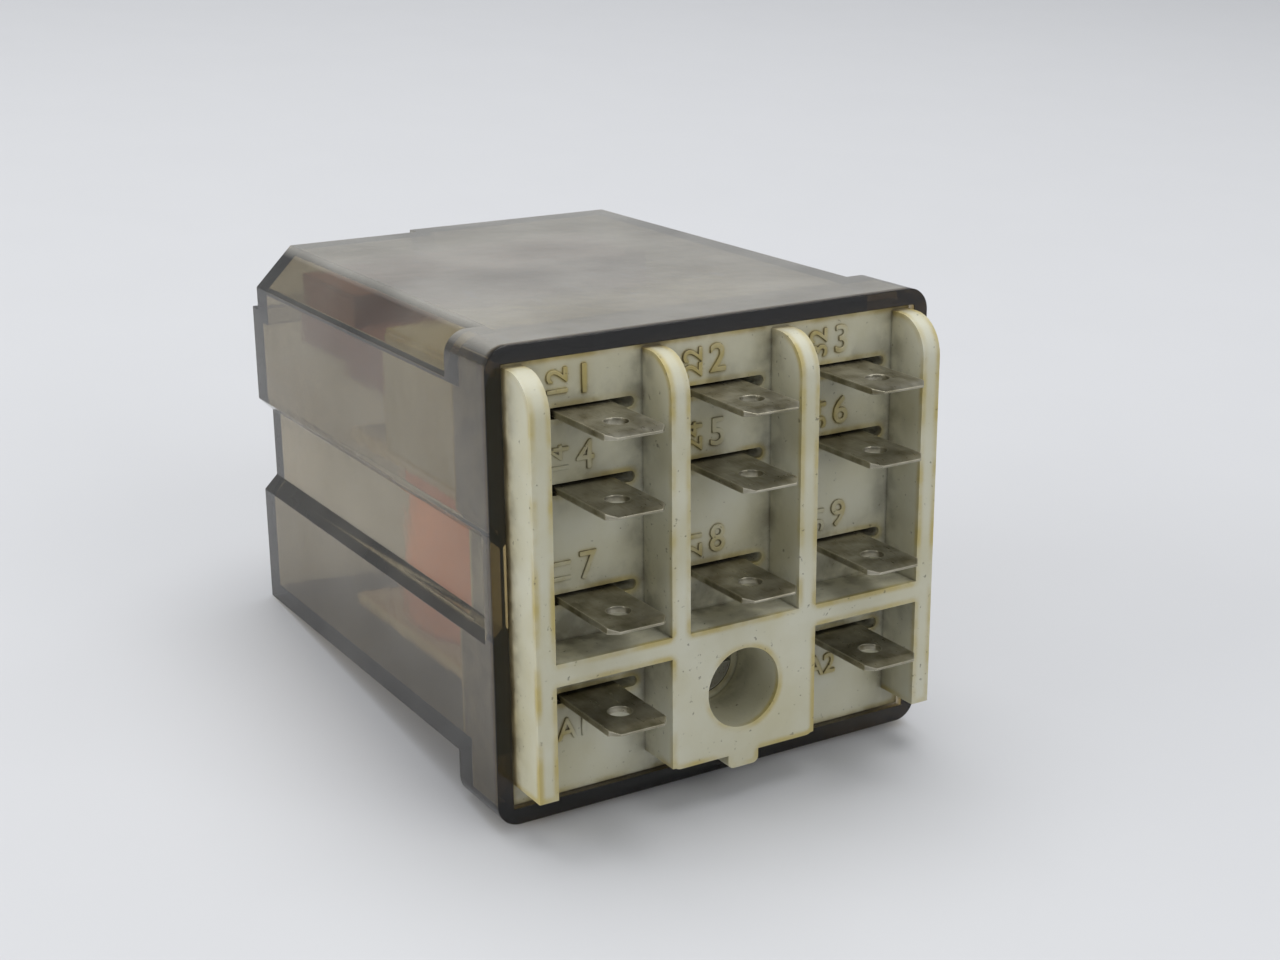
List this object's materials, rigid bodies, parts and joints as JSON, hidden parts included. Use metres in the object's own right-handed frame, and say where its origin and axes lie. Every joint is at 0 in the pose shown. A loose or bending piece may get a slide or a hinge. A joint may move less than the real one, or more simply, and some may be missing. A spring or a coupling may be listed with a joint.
{
  "type": "industrial control relay",
  "caption": "Plug-in power relay with a smoked cover, flat blade terminals in a cream base and a hinged armature that switches changeover contacts.",
  "frame": {"origin": "centre of the bounding box seen from above, at the lowest face, which is the underside of the flange", "axes": "+Y from the blades towards the closed end of the cover, +Z from the coil terminals up to the break contact terminals, +X to the right when the blades are looked at"},
  "size_m": [0.0382, 0.0526, 0.036],
  "materials": {
    "smoked_cover": "smoked transparent plastic, polished",
    "cream_base": "cream thermoplastic, fine matt grain",
    "tinned_brass": "tarnished plated brass, stamped",
    "spring_bronze": "rolled bronze strip",
    "contact_silver": "silver alloy, turned",
    "copper_braid": "bare copper braid",
    "enamelled_wire": "enamelled copper wire",
    "plated_steel": "zinc plated",
    "magnet_steel": "plated mild steel",
    "core_iron": "ground soft iron",
    "bobbin_plastic": "moulded",
    "coil_tape": "wrapped film",
    "spring_steel": "drawn wire",
    "brown_plastic": "moulded phenolic"
  },
  "bodies": {
    "housing": {"cover": "smoked_cover", "base": "cream_base", "contact_guard": "cream_base", "nc_terminal_1": "tinned_brass", "nc_terminal_2": "tinned_brass", "nc_terminal_3": "tinned_brass", "no_terminal_1": "tinned_brass", "no_terminal_2": "tinned_brass", "no_terminal_3": "tinned_brass", "com_terminal_1": "tinned_brass", "com_terminal_2": "tinned_brass", "com_terminal_3": "tinned_brass", "coil_terminal_1": "tinned_brass", "coil_terminal_2": "tinned_brass", "nc_contact_1": "contact_silver", "nc_contact_2": "contact_silver", "nc_contact_3": "contact_silver", "no_contact_1": "contact_silver", "no_contact_2": "contact_silver", "no_contact_3": "contact_silver", "braid_1": "copper_braid", "braid_2": "copper_braid", "braid_3": "copper_braid", "coil_lead_1": "enamelled_wire", "coil_lead_2": "enamelled_wire", "frame_screw": "plated_steel", "yoke": "magnet_steel", "core": "core_iron", "bobbin": "bobbin_plastic", "winding": "enamelled_wire", "coil_wrap": "coil_tape", "return_spring": "spring_steel"},
    "moving_frame": {"armature": "magnet_steel", "carrier": "brown_plastic", "carrier_rivets": "plated_steel", "contact_spring_1": "spring_bronze", "contact_spring_2": "spring_bronze", "contact_spring_3": "spring_bronze", "moving_contact_1": "contact_silver", "moving_contact_2": "contact_silver", "moving_contact_3": "contact_silver"}
  },
  "joints": [
    {"name": "armature_hinge", "type": "hinge", "parent": "housing", "child": "moving_frame", "pos_m": [-0.0015, 0.0127, 0.02535], "axis": [1, 0, 0], "range_deg": [0, 4], "stiffness_Nm_per_rad": 0.02, "springref_deg": -8.59, "deforming": ["return_spring", "braid_1", "braid_2", "braid_3"]}
  ]
}
